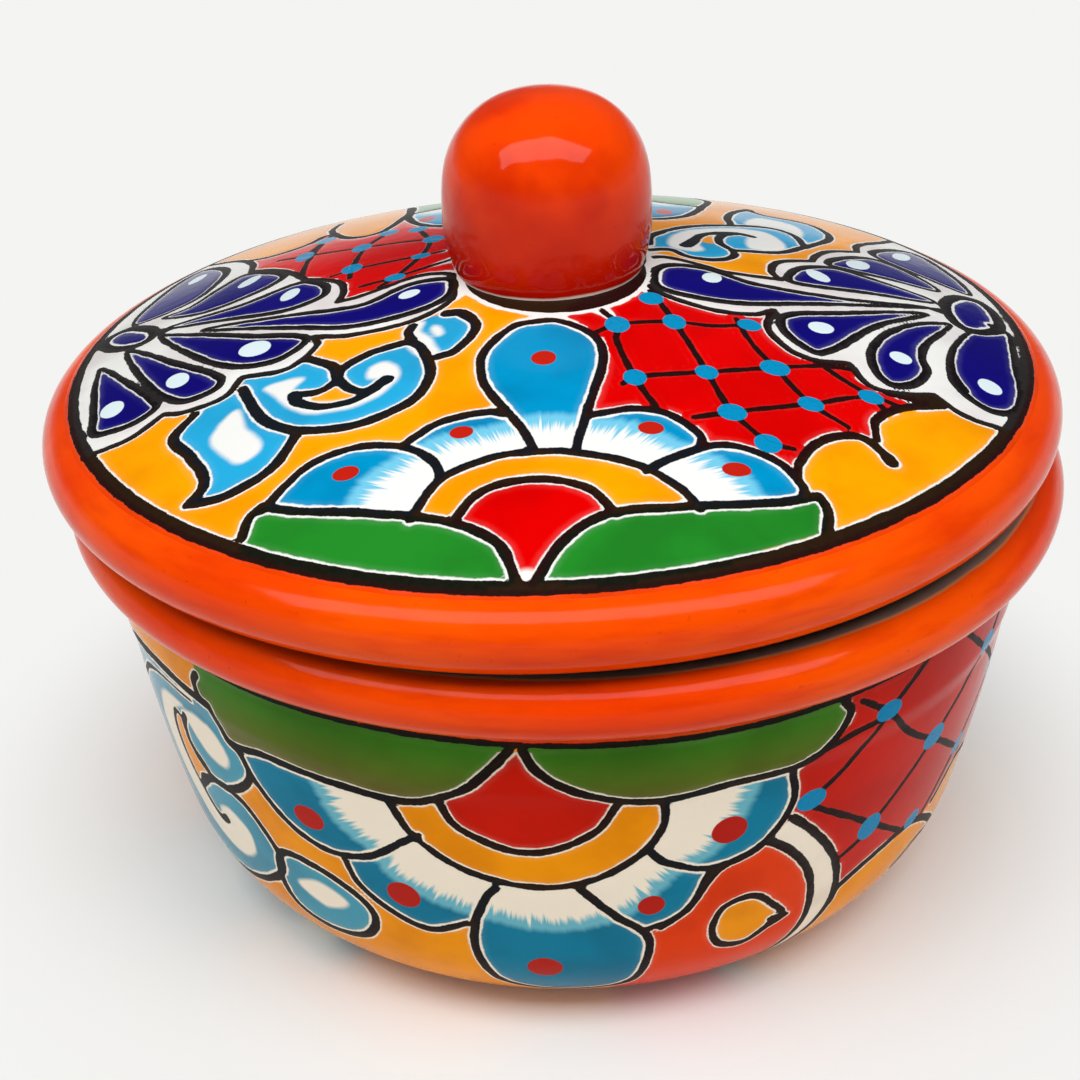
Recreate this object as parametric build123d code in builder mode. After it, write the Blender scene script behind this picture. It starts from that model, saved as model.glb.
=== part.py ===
from build123d import *
import os
from math import cos, radians, sin, sqrt, tan

# Glazed earthenware tortilla warmer: a round bowl and a loose domed lid with a ball knob.
# Millimetres, +Z up. The origin is the centre of the foot, on the surface the bowl stands on,
# and -Y is the front. The lid sits as hand-made lids do: a little to the left of the bowl,
# and resting on its left side, so that a narrow gap opens to the right.

# Bowl: a turned shell on a flat foot, its edge rolled thick
bowl_height = 112.0  # foot to the crown of the rolled rim
rim_radius = 124.2
rim_roll_width = 15.0
rim_roll_height = 14.3
neck_tuck = 8.2  # the roll stands out this far past the neck
shoulder_tuck = 0.7  # neck to shoulder
shoulder_height = 81.0
shoulder_step = 1.3  # the wall steps back this far under the shoulder
shoulder_drop = 5.0
shoulder_round = 5.0
wall_lean = 9.2  # degrees that the wall leans in towards the foot
wall_bulge = 0.6
heel_height = 28.0
foot_radius = 84.0
foot_edge_round = 1.2
bowl_wall = 7.0
floor_thickness = 9.0
inner_heel_round = 34.0

# Lid: a domed plate with a rolled edge
lid_overhang = 0.8  # the lid's edge stands out this far past the bowl's, when it lies in the middle
lid_roll_width = 17.9
lid_roll_height = 17.0
dome_rise = 25.6  # crown of the roll to the crown of the dome
dome_half_rise = 17.2  # the rise that is reached half way in to the centre
dome_edge_slope = 21.0  # degrees
plate_thickness = 8.0

# Knob: a hollow ball, open below, luted on over a pin hole that let its air out in the kiln
knob_radius = 25.1
knob_base_radius = 22.1
knob_seat_drop = 1.8  # the dome's fall from its crown to the knob's edge
knob_height = 42.1
knob_widest_height = 12.0
knob_shoulder_radius = 19.3
knob_shoulder_height = 34.6
knob_shoulder_slope = 41.0  # degrees that the shoulder faces up
knob_wall = 5.5
pin_hole_radius = 1.0

# Locating ring: a flange under the lid that stands inside the bowl's mouth
ring_thickness = 6.0
ring_depth = 9.0  # below the bowl's crown
ring_edge_round = 1.8
ring_play = 1.0  # to the mouth on the side that it has slid to

# Seat: how the lid lies on the bowl
lid_shift = 3.4  # to the left
lid_lean = 0.92  # degrees, right side up
seat_gap = 0.3  # between the two rolls where they rest on each other

# Places worked out for the bowl
roll_mid_radius = rim_radius - rim_roll_width / 2
roll_mid_height = bowl_height - rim_roll_height / 2
roll_under_height = bowl_height - rim_roll_height
mouth_radius = rim_radius - rim_roll_width
neck_radius = rim_radius - neck_tuck
shoulder_radius = neck_radius - shoulder_tuck
wall_top_radius = shoulder_radius - shoulder_step
wall_top_height = shoulder_height - shoulder_drop
heel_radius = wall_top_radius - (wall_top_height - heel_height) * tan(radians(wall_lean))
well_top_radius = wall_top_radius - bowl_wall
inner_heel_radius = well_top_radius - (wall_top_height - floor_thickness) * tan(radians(wall_lean))

# Places worked out for the lid, measured from the middle of its roll
lid_radius = rim_radius + lid_overhang
lid_roll_mid_radius = lid_radius - lid_roll_width / 2
dome_edge_height = lid_roll_height / 2
dome_crown_height = dome_edge_height + dome_rise
dome_half_radius = lid_roll_mid_radius / 2
roll_offset = lid_roll_mid_radius + lid_shift - roll_mid_radius
roll_reach = (rim_roll_width + lid_roll_width) / 2
seat_rise = (rim_roll_height + lid_roll_height) / 2 * sqrt(1 - (roll_offset / roll_reach) ** 2) + seat_gap
lid_mid_height = roll_mid_height + seat_rise + lid_roll_mid_radius * sin(radians(lid_lean))
ring_outer_radius = mouth_radius - lid_shift - ring_play
ring_inner_radius = ring_outer_radius - ring_thickness
ring_low = bowl_height - ring_depth - lid_mid_height
knob_seat_height = dome_crown_height - knob_seat_drop
knob_bore_radius = knob_base_radius - knob_wall

lid_plane = Plane.XY.move(Location((-lid_shift, 0, lid_mid_height))).rotated((0, -lid_lean, 0))
lid_section = Plane(origin=lid_plane.origin, x_dir=lid_plane.x_dir, z_dir=-lid_plane.y_dir)
lid_axis = Axis(lid_plane.origin, lid_plane.z_dir)
dome_ends = ((1, 0), (cos(radians(dome_edge_slope)), -sin(radians(dome_edge_slope))))
knob_ends = ((0, 1), (-1, 0))


def dome_points(drop):
    """Points of the dome's line, from the axis out to the roll's crown, lowered by drop."""
    return [
        (0, dome_crown_height - drop),
        (dome_half_radius, dome_edge_height + dome_half_rise - drop),
        (lid_roll_mid_radius, dome_edge_height - drop),
    ]


def knob_points(inset):
    """Points of the knob's outline, from its widest ring up to its crown, drawn in by inset."""
    inward = inset * cos(radians(knob_shoulder_slope))
    down = inset * sin(radians(knob_shoulder_slope))
    return [
        (knob_radius - inset, knob_seat_height + knob_widest_height),
        (knob_shoulder_radius - inward, knob_seat_height + knob_shoulder_height - down),
        (0, knob_seat_height + knob_height - inset),
    ]


# Bowl
with BuildPart() as bowl:
    with BuildSketch(Plane.XZ) as bowl_section:
        with BuildLine():
            Polyline(
                (0, roll_mid_height),
                (neck_radius, roll_mid_height),
                (neck_radius, roll_under_height),
                (shoulder_radius, shoulder_height),
                (wall_top_radius, wall_top_height),
            )
            wall = SagittaArc((wall_top_radius, wall_top_height), (heel_radius, heel_height), wall_bulge)
            heel = TangentArc(wall @ 1, (foot_radius, 0), tangent=wall % 1)
            Polyline(heel @ 1, (0, 0), (0, roll_mid_height))
        make_face()
        for bend in [(shoulder_radius, shoulder_height), (wall_top_radius, wall_top_height)]:
            fillet(bowl_section.vertices().sort_by_distance(bend)[0], radius=shoulder_round)
        fillet(bowl_section.vertices().sort_by_distance((foot_radius, 0))[0], radius=foot_edge_round)
        with Locations((roll_mid_radius, roll_mid_height)):
            Ellipse(rim_roll_width / 2, rim_roll_height / 2)
        with BuildSketch(mode=Mode.SUBTRACT) as well_section:
            with BuildLine():
                Polyline(
                    (0, bowl_height),
                    (mouth_radius, bowl_height),
                    (mouth_radius, roll_mid_height),
                    (well_top_radius, wall_top_height),
                    (inner_heel_radius, floor_thickness),
                    (0, floor_thickness),
                    close=True,
                )
            make_face()
            inner_heel = well_section.vertices().sort_by_distance((inner_heel_radius, floor_thickness))[0]
            fillet(inner_heel, radius=inner_heel_round)
    revolve(axis=Axis.Z)
bowl.part.label = "bowl"

# Lid
with BuildPart() as lid:
    with BuildSketch(lid_section):
        with BuildLine():
            top = Spline(*dome_points(0), tangents=dome_ends)
            under = Spline(*dome_points(plate_thickness), tangents=dome_ends)
            Line(top @ 0, under @ 0)
            Line(top @ 1, under @ 1)
        make_face()
        with Locations((ring_outer_radius, 0)):
            Rectangle(lid_roll_mid_radius - ring_outer_radius, dome_edge_height, align=(Align.MIN, Align.MIN))
        with Locations((lid_roll_mid_radius, 0)):
            Ellipse(lid_roll_width / 2, lid_roll_height / 2)
        Rectangle(pin_hole_radius, dome_crown_height, align=(Align.MIN, Align.MIN), mode=Mode.SUBTRACT)
    revolve(axis=lid_axis)
lid.part.label = "lid"

# Knob: its foot follows the dome that it stands on
with BuildPart() as knob:
    with BuildSketch(lid_section):
        with BuildLine():
            outside = Spline(*knob_points(0), tangents=knob_ends)
            foot = TangentArc(outside @ 0, (knob_base_radius, knob_seat_height), tangent=(0, -1))
            Polyline(outside @ 1, (0, dome_edge_height), (knob_base_radius, dome_edge_height), foot @ 1)
        make_face()
        with BuildLine():
            inside = Spline(*knob_points(knob_wall), tangents=knob_ends)
            bore = TangentArc(inside @ 0, (knob_bore_radius, knob_seat_height), tangent=(0, -1))
            Polyline(inside @ 1, (0, dome_edge_height), (knob_bore_radius, dome_edge_height), bore @ 1)
        make_face(mode=Mode.SUBTRACT)
        with BuildLine():
            top = Spline(*dome_points(0), tangents=dome_ends)
            Polyline(top @ 1, (0, dome_edge_height), top @ 0)
        make_face(mode=Mode.SUBTRACT)
    revolve(axis=lid_axis)
knob.part.label = "knob"

# Locating ring: its head follows the underside of the dome, and its side stays clear of the roll
with BuildPart() as locating_ring:
    with BuildSketch(lid_section) as ring_section:
        with Locations((ring_inner_radius, ring_low)):
            Rectangle(ring_thickness, dome_crown_height - ring_low, align=(Align.MIN, Align.MIN))
        with Locations((lid_roll_mid_radius, 0)):
            Ellipse(lid_roll_width / 2, lid_roll_height / 2, mode=Mode.SUBTRACT)
        with BuildLine():
            under = Spline(*dome_points(plate_thickness), tangents=dome_ends)
            Polyline(under @ 1, (lid_roll_mid_radius, dome_crown_height), (0, dome_crown_height), under @ 0)
        make_face(mode=Mode.SUBTRACT)
        fillet(ring_section.vertices().group_by(Axis.Y)[0], radius=ring_edge_round)
    revolve(axis=lid_axis)
locating_ring.part.label = "locating_ring"

os.makedirs("parts", exist_ok=True)
for piece in (bowl, lid, knob, locating_ring):
    export_step(piece.part, f"parts/{piece.part.label}.step")
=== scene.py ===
from cmath import exp, phase
from math import atan, cos, hypot, pi, radians, sin, tan

import bpy
import numpy as np
from mathutils import Matrix, Vector


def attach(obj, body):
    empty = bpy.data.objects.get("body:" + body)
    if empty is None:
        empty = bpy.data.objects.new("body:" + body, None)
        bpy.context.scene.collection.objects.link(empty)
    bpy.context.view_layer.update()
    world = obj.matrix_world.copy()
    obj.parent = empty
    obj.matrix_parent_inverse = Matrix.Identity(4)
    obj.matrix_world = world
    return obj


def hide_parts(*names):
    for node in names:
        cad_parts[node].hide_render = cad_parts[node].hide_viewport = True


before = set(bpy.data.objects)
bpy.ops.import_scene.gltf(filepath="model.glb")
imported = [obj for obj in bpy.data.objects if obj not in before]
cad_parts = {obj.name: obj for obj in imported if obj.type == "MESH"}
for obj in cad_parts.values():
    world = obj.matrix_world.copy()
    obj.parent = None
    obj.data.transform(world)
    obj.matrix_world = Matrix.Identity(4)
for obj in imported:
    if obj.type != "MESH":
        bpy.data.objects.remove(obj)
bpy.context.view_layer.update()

# Camera
# It stands in front of the dish, a little left of its middle, and looks down on the lid.
# Its place and turn were fitted to the outlines of the real dish.
MM = 0.001
camera_place = Vector((-6.83, -415.21, 313.19)) * MM
camera_dip = 0.51789  # radians below level
camera_roll = -0.02796
camera_lens = 60.175
film_width = 36
camera_data = bpy.data.cameras.new("camera")
camera_data.lens = camera_lens
camera_data.sensor_width = film_width
camera = bpy.data.objects.new("camera", camera_data)
bpy.context.collection.objects.link(camera)
level_right = Vector((1, 0, 0))
ahead = Vector((0, cos(camera_dip), -sin(camera_dip)))
level_up = level_right.cross(ahead)
rolled_right = cos(camera_roll) * level_right + sin(camera_roll) * level_up
rolled_up = cos(camera_roll) * level_up - sin(camera_roll) * level_right
camera_turn = Matrix((rolled_right, rolled_up, -ahead)).transposed().to_4x4()
camera.matrix_world = Matrix.Translation(camera_place) @ camera_turn
bpy.context.scene.camera = camera
bpy.context.scene.view_settings.view_transform = "Standard"


# Studio
# A pale painted floor under one wide soft lamp. Away from the dish the floor is seen in one plain
# tone, without shade. The air is a dim plain grey, paler at the horizon.
class Amount:
    """A number that varies over the clay: a node's socket, which takes part in plain sums."""

    def __init__(self, recipe, socket):
        self.recipe = recipe
        self.socket = socket

    def combined(self, operation, left, right):
        return self.recipe.node("ShaderNodeMath", {"operation": operation}, {0: left, 1: right})

    def __add__(self, other):
        return self.combined("ADD", self, other)

    def __radd__(self, other):
        return self.combined("ADD", other, self)

    def __sub__(self, other):
        return self.combined("SUBTRACT", self, other)

    def __rsub__(self, other):
        return self.combined("SUBTRACT", other, self)

    def __mul__(self, other):
        return self.combined("MULTIPLY", self, other)

    def __rmul__(self, other):
        return self.combined("MULTIPLY", other, self)

    def least(self, other):
        return self.combined("MINIMUM", self, other)

    def past(self, edge, soft):
        """0 below the edge and 1 above it, with a soft step between."""
        settings = {"interpolation_type": "SMOOTHSTEP"}
        return self.recipe.node("ShaderNodeMapRange", settings, {0: self, 1: edge - soft, 2: edge + soft})


class Recipe:
    """Nodes that make up a finish or a shape."""

    def __init__(self, tree, owner=None):
        self.tree = tree
        self.owner = owner
        tree.nodes.clear()

    def node(self, kind, settings=None, values=None, output=0):
        made = self.tree.nodes.new(kind)
        for setting, value in (settings or {}).items():
            setattr(made, setting, value)
        for socket, value in (values or {}).items():
            if isinstance(value, Amount):
                self.tree.links.new(value.socket, made.inputs[socket])
            else:
                made.inputs[socket].default_value = value
        return Amount(self, made.outputs[output] if len(made.outputs) else None)

    def mix(self, share, first, second):
        return self.node("ShaderNodeMix", {"data_type": "RGBA"}, {0: share, 6: first, 7: second}, 2)

    def tinged(self, colour, by):
        settings = {"data_type": "RGBA", "blend_type": "MULTIPLY"}
        return self.node("ShaderNodeMix", settings, {0: 1.0, 6: colour, 7: by}, 2)

    def place(self):
        return self.node("ShaderNodeTexCoord", {}, {}, 3)

    def noise(self, scale, detail=2, where=None):
        """Uneven tone between 0 and 1; scale is in patches per metre."""
        values = {"Vector": where or self.place(), "Scale": scale, "Detail": detail}
        return self.node("ShaderNodeTexNoise", {}, values)

    def stretched(self, scale):
        """Object coordinates pulled out by scale, for streaks."""
        return self.node("ShaderNodeMapping", {}, {"Vector": self.place(), "Scale": scale})

    def painted(self, name):
        """A number that was laid down on the piece by its maker."""
        return self.node("ShaderNodeAttribute", {"attribute_name": name}, {}, 2)

    def painted_colour(self, name):
        return self.node("ShaderNodeAttribute", {"attribute_name": name}, {}, 0)

    def fire(self, colour, roughness, height=None, depth=0.0003, shine=0.5):
        """The surface itself: height is a raised pattern from 0 to 1, depth its rise in metres."""
        values = {"Base Color": colour, "Roughness": roughness, "Specular IOR Level": shine}
        if height is not None:
            rise = {"Strength": 1, "Distance": depth, "Height": height}
            values["Normal"] = self.node("ShaderNodeBump", {}, rise)
        surface = self.node("ShaderNodeBsdfPrincipled", {}, values)
        self.node("ShaderNodeOutputMaterial", {}, {"Surface": surface})
        return self.owner


def finish(name):
    material = bpy.data.materials.new(name)
    material.use_nodes = True
    return Recipe(material.node_tree, material)


def tint(red, green, blue):
    """A colour as it is seen on a screen, 0 to 255, made linear."""
    parts = [part / 255 for part in (red, green, blue)]
    return (*[part / 12.92 if part <= 0.04045 else ((part + 0.055) / 1.055) ** 2.4 for part in parts], 1)


floor_half = 12.0
floor_signs = ((-1, -1), (1, -1), (1, 1), (-1, 1))
floor_corners = [(x * floor_half, y * floor_half, 0) for x, y in floor_signs]
floor_mesh = bpy.data.meshes.new("floor")
floor_mesh.from_pydata(floor_corners, [], [(0, 1, 2, 3)])
floor = bpy.data.objects.new("floor", floor_mesh)
bpy.context.collection.objects.link(floor)
floor_paint = finish("floor_paint")
floor_tone = floor_paint.mix(floor_paint.noise(1.5), tint(232, 232, 230), tint(237, 237, 235))
plain_tone = tint(244, 244, 242)
plain_from = 0.13  # metres from the middle of the dish, half-way into the plain tone
plain_soft = 0.06
painted_floor = floor_paint.node("ShaderNodeBsdfDiffuse", {}, {"Color": floor_tone})
plain_floor = floor_paint.node("ShaderNodeEmission", {}, {"Color": plain_tone, "Strength": 1.0})
seen_straight = floor_paint.node("ShaderNodeLightPath", {}, {}, 0)
seen_in_gloss = floor_paint.node("ShaderNodeLightPath", {}, {}, 3)
seen_through = floor_paint.node("ShaderNodeLightPath", {}, {}, "Is Transmission Ray")
from_middle = floor_paint.node("ShaderNodeVectorMath", {"operation": "LENGTH"}, {0: floor_paint.place()}, 1)
seen = (seen_straight + seen_in_gloss + seen_through).least(1.0)
plain_share = seen * from_middle.past(plain_from, plain_soft)
both_floors = {0: plain_share, 1: painted_floor, 2: plain_floor}
floor_surface = floor_paint.node("ShaderNodeMixShader", {}, both_floors)
floor_paint.node("ShaderNodeOutputMaterial", {}, {"Surface": floor_surface})
floor_mesh.materials.append(floor_paint.owner)

world = bpy.data.worlds.new("air")
world.use_nodes = True
bpy.context.scene.world = world
air = Recipe(world.node_tree)
height_in_air = air.node("ShaderNodeSeparateXYZ", {}, {0: air.node("ShaderNodeTexCoord", {}, {}, 0)}, 2)
air_at_horizon = (0.6, 0.6, 0.6, 1)
air_above = (0.1, 0.101, 0.103, 1)
air_tone = air.mix(height_in_air.past(0.09, 0.12), air_at_horizon, air_above)
air_glow = air.node("ShaderNodeBackground", {}, {"Color": air_tone})
air.node("ShaderNodeOutputWorld", {}, {"Surface": air_glow})

lamp_place = Vector((-0.03, -0.44, 1.0))
lamp_aim = Vector((0, 0, 0.1))
lamp_data = bpy.data.lights.new("lamp_over", "AREA")
lamp_data.shape = "RECTANGLE"
lamp_data.size = 1.9
lamp_data.size_y = 0.5
lamp_data.energy = 15.5
lamp = bpy.data.objects.new("lamp_over", lamp_data)
lamp.location = lamp_place
lamp.rotation_euler = (lamp_aim - lamp_place).to_track_quat("-Z", "Y").to_euler()
bpy.context.collection.objects.link(lamp)


# Bowl wall
# The turned outside of the bowl, from its rolled rim to the foot, painted with raised black lines
# filled with bright glazes: a half flower, a dotted red lattice, scrolls, ovals and scalloped petals
# on yellow. The far side, which can't be seen, repeats the front.
def bend(start, end, heading, count=60):
    """The arc that leaves start along heading and arrives at end, and its heading there. A place on
    a profile is its distance from the axis, plus 1j times its height."""
    chord = end - start
    swing = phase(chord / heading)
    reach = abs(chord) * swing / sin(swing)
    shares = np.linspace(0, 1, count)
    arc = start + heading * (np.exp(2j * swing * shares) - 1) / (2j * swing) * reach
    return arc, heading * exp(2j * swing)


def even(line, step):
    """The same line with its points set evenly, step apart."""
    line = np.asarray(line)
    lengths = np.concatenate([[0], np.cumsum(np.abs(np.diff(line)))])
    marks = np.linspace(0, lengths[-1], max(2, round(lengths[-1] / step) + 1))
    return np.interp(marks, lengths, line.real) + 1j * np.interp(marks, lengths, line.imag)


def eased(line, step, ease):
    """The same line with its corners rounded over about ease."""
    fine = even(line, step)
    width = max(1, round(ease / step))
    padded = np.concatenate([np.full(width, fine[0]), fine, np.full(width, fine[-1])])
    soft = np.convolve(padded, np.ones(2 * width + 1) / (2 * width + 1), "valid")
    blend = np.clip(np.minimum(np.arange(len(fine)), np.arange(len(fine))[::-1]) / width, 0, 1)
    return fine * (1 - blend) + soft * blend


def turned(name, profile, spokes, closed=False, seat=None):
    """A piece turned round the axis, and its points before seat moved them. The profile runs with its
    outside on its right hand. Corners that fall together on the axis are one."""
    angles = 2 * pi * np.arange(spokes) / spokes
    rings = []
    places = []
    for spot in profile:
        if spot.real < 1e-6:
            rings.append(np.full(spokes, len(places)))
            places.append((0, 0, spot.imag))
        else:
            rings.append(len(places) + np.arange(spokes))
            places += zip(spot.real * np.cos(angles), spot.real * np.sin(angles),
                          np.full(spokes, spot.imag))
    places = np.array(places)
    faces = []
    for low, high in zip(rings, rings[1:] + rings[:1] if closed else rings[1:]):
        for a, b, c, d in zip(low, np.roll(low, -1), np.roll(high, -1), high):
            corners = dict.fromkeys((int(a), int(b), int(c), int(d)))
            if len(corners) > 2:
                faces.append(tuple(corners))
    mesh = bpy.data.meshes.new(name)
    seated = places if seat is None else seat(places)
    mesh.from_pydata((seated * MM).tolist(), [], faces)
    mesh.shade_smooth()
    piece = bpy.data.objects.new(name, mesh)
    bpy.context.collection.objects.link(piece)
    return piece, places


def curve(start, end, lean_in, lean_out, share):
    """Places on a run from start to end that leaves along lean_in and arrives along lean_out."""
    return (
        start * (1 + 2 * share) * (1 - share) ** 2
        + lean_in * share * (1 - share) ** 2
        + end * share**2 * (3 - 2 * share)
        - lean_out * share**2 * (1 - share)
    )


def smooth(points, closed=False, step=0.9):
    """A brush line through the points, as places along it a short step apart."""
    points = np.array(points, float)
    if len(points) == 2 and not closed:
        return points
    if closed:
        ends = np.concatenate([points[-1:], points, points[:2]])
    else:
        ends = np.concatenate([2 * points[:1] - points[1:2], points, 2 * points[-1:] - points[-2:-1]])
    line = []
    for before, start, end, after in zip(ends, ends[1:], ends[2:], ends[3:]):
        run = hypot(*(end - start))
        lean_in = (end - before) / (hypot(*(end - start)) + hypot(*(start - before))) * run
        lean_out = (after - start) / (hypot(*(after - end)) + hypot(*(end - start))) * run
        share = np.arange(0, 1, min(0.5, step / max(run, 0.01)))[:, None]
        line.append(curve(start, end, lean_in, lean_out, share))
    line.append(points[:1] if closed else points[-1:])
    return np.concatenate(line)


def distance(spots, line):
    """How far each spot is from the line, and how far along the line that is, from 0 to 1."""
    start = line[:-1]
    run = line[1:] - start
    offset = spots[:, None] - start[None]
    share = np.clip((offset * run).sum(2) / np.maximum((run**2).sum(1), 1e-9), 0, 1)
    squares = ((offset - share[..., None] * run) ** 2).sum(2)
    nearest = squares.argmin(1)
    row = np.arange(len(spots))
    return np.sqrt(squares[row, nearest]), (nearest + share[row, nearest]) / len(start)


def within(spots, outline):
    """Which spots lie inside a closed outline."""
    across, up = spots[:, 0, None], spots[:, 1, None]
    x0, y0 = outline[:, 0], outline[:, 1]
    x1, y1 = np.roll(x0, -1), np.roll(y0, -1)
    steps = np.where(y1 == y0, 1e-9, y1 - y0)
    crosses = ((y0 > up) != (y1 > up)) & (across < (x1 - x0) * (up - y0) / steps + x0)
    return crosses.sum(1) % 2 == 1


def mark(piece, name, numbers):
    """Lays a number on each point of a piece, for its finish to read."""
    layer = piece.data.attributes.new(name, "FLOAT", "POINT")
    layer.data.foreach_set("value", np.asarray(numbers, np.float32))


# Each glaze's colour, and the width of bare white that it keeps from the ink. The wall's green, teal
# and white are recoloured copies of green, teal and white, as painted shade and warm light under the rim.
glazes = {
    "yellow": (tint(255, 164, 0), 0.4),
    "red": (tint(222, 0, 0), 0.3),
    "green": (tint(34, 136, 38), 0.5),
    "shaded_green": (tint(64, 140, 30), 0.3),
    "brick": (tint(208, 26, 0), 0.3),
    "shaded_teal": (tint(14, 134, 180), 0.6),
    "cobalt": (tint(14, 6, 116), 0.3),
    "teal": (tint(0, 146, 198), 0.6),
    "light": (tint(38, 168, 218), 0.5),
    "white": (tint(238, 238, 234), 0.0),
    "lit_white": (tint(255, 253, 246), 0.0),
    "mist": (tint(74, 166, 204), 0.6),
    "orange": (tint(236, 66, 0), 0.3),
}

# The colours of small dabs over the glaze, and the numbers that every painted piece shares
dabs = {"red": (190, 32, 18), "white": (222, 238, 242), "blue": (6, 140, 190)}
far = 9.0
no_white = -1
widest_white = 1.6
dab_margin = 1.2
streak_scale = 40


class Panel:
    """The painted skin of a piece laid out flat in mm, and what is painted at each of its points.
    ink, spot, pale and feather hold how far a point is outside them, along runs across the streaks
    of a feathered petal, and halo is the width of bare white that a glaze keeps from the ink."""

    def __init__(self, across, up, around=None):
        self.at = np.stack([across, up], 1)
        self.around = around
        self.shift = (0, 0)
        count = len(across)
        ground, ground_halo = glazes["yellow"]
        names = ("ink", "spot", "pale", "feather", "along", "halo")
        self.numbers = {name: np.full(count, far) for name in names}
        self.colours = {name: np.tile(ground, (count, 1)) for name in ("glaze", "spot_glaze")}
        self.numbers["halo"][:] = ground_halo

    def near(self, line, reach):
        """The points within reach of a line, with their places on the line's side of the seam."""
        low = line.min(0) - reach
        high = line.max(0) + reach
        spots = self.at.copy()
        if self.around:
            middle = (low[0] + high[0]) / 2
            spots[:, 0] = (spots[:, 0] - middle + self.around / 2) % self.around - self.around / 2 + middle
        found = np.flatnonzero(((spots > low) & (spots < high)).all(1))
        return found, spots[found]

    def flood(self, glaze, outline):
        """Fills a closed outline with a glaze."""
        outline = np.asarray(outline) + self.shift
        found, spots = self.near(outline, 0)
        found = found[within(spots, outline)]
        self.colours["glaze"][found] = glazes[glaze][0]
        self.numbers["halo"][found] = glazes[glaze][1]
        self.numbers["feather"][found] = far
        self.numbers["pale"][found] = far
        return found

    def line(self, width, points, closed=False, over=False):
        """An ink line; several widths are spread along it. Over a glaze it has no white beside it."""
        line = smooth(points, closed) + self.shift
        found, spots = self.near(line, 5)
        if not len(found):
            return
        gap, share = distance(spots, line)
        widths = np.atleast_1d(width)
        half = np.interp(share, np.linspace(0, 1, len(widths)), widths) / 2
        ink = self.numbers["ink"]
        if over:
            nearest = (gap - half < ink[found]) & (gap - half < widest_white)
            self.numbers["halo"][found[nearest]] = no_white
        ink[found] = np.minimum(ink[found], gap - half)

    def cell(self, glaze, width, *curves, close=()):
        """A field bounded by ink curves, and by close where another field's ink bounds it."""
        bounds = [smooth(curve) for curve in curves]
        if close:
            bounds.append(np.array(close, float))
        self.flood(glaze, np.concatenate(bounds))
        for curve in curves:
            self.line(width, curve)

    def ring(self, glaze, width, points):
        """A field with one closed ink line round it."""
        self.flood(glaze, smooth(points, True))
        self.line(width, points, True)

    def patch(self, points):
        """A patch of bare white inside a field, with no ink round it."""
        outline = smooth(points, True) + self.shift
        found, spots = self.near(outline, 4)
        gap = distance(spots, outline)[0] * np.where(within(spots, outline), -1, 1)
        pale = self.numbers["pale"]
        pale[found] = np.minimum(pale[found], gap)

    def dot(self, glaze, x, y, wide, high, turn=0):
        """An oval dab of glaze laid over everything else."""
        middle = np.array((x, y)) + self.shift
        found, spots = self.near(middle[None], 10)
        aside, upward = (spots - middle).T
        along = aside * cos(turn) + upward * sin(turn)
        across = upward * cos(turn) - aside * sin(turn)
        gap = (np.hypot(along / wide, across / high) - 1) * min(wide, high)
        spot = self.numbers["spot"]
        self.colours["spot_glaze"][found[gap < dab_margin]] = tint(*dabs[glaze])
        spot[found] = np.minimum(spot[found], gap)

    def feathered(self, glaze, outline, middle):
        """White that reaches in streaks out of a flower's middle into its petals."""
        outline = smooth(outline, True) + self.shift
        middle = np.array(middle) + self.shift
        found, spots = self.near(outline, 8)
        of_glaze = (self.colours["glaze"][found] == glazes[glaze][0]).all(1)
        found, spots = found[of_glaze], spots[of_glaze]
        gap = distance(spots, outline)[0] * np.where(within(spots, outline), -1, 1)
        self.numbers["feather"][found] = gap
        aside, upward = np.abs(spots - middle).T
        side = np.sign(spots[:, 0] - middle[0])
        self.numbers["along"][found] = np.arctan2(aside, upward) * side * streak_scale

    def lay_on(self, piece):
        for name, numbers in self.numbers.items():
            mark(piece, name, numbers)
        for name, colours in self.colours.items():
            layer = piece.data.attributes.new(name, "FLOAT_COLOR", "POINT")
            layer.data.foreach_set("color", colours.astype(np.float32).ravel())


neck = 116.0 + 97.7j
shoulder = 115.3 + 81j
wall_top = 114.0 + 76j
heel = 106.23 + 28j
foot_edge = 84 + 0j
wall_bulge = 0.6
foot_inside = 82.6 + 0j
wall_chord = heel - wall_top
wall_heading = wall_chord / abs(wall_chord) * exp(2j * atan(2 * wall_bulge / abs(wall_chord)))
wall_arc, heel_heading = bend(wall_top, heel, wall_heading)
heel_arc = bend(heel, foot_edge, heel_heading)[0]
hidden_run = 1.5  # the wall goes on this far under the roll
wall_down = np.concatenate([[neck + hidden_run * 1j, neck, shoulder], wall_arc, heel_arc[1:],
                            [foot_inside]])
wall_line = even(eased(wall_down, 0.1, 1.1), 0.9)
wall_line = wall_line.real + 1j * np.maximum(wall_line.imag, 0)
wall_spokes = 784
bowl_wall, wall_places = turned("bowl_wall", wall_line[::-1], wall_spokes)

wall_round = 112.0
wall_repeat = pi * wall_round
depth_marks = np.concatenate([[0], np.cumsum(np.abs(np.diff(wall_line)))]) - hidden_run
wall_depth = np.interp(-wall_places[:, 2], -wall_line.imag, depth_marks)
wall_turn = (np.arctan2(wall_places[:, 1], wall_places[:, 0]) + pi / 2 + pi) % (2 * pi) - pi
wall = Panel(wall_turn * wall_round, wall_depth, 2 * wall_repeat)

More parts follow.
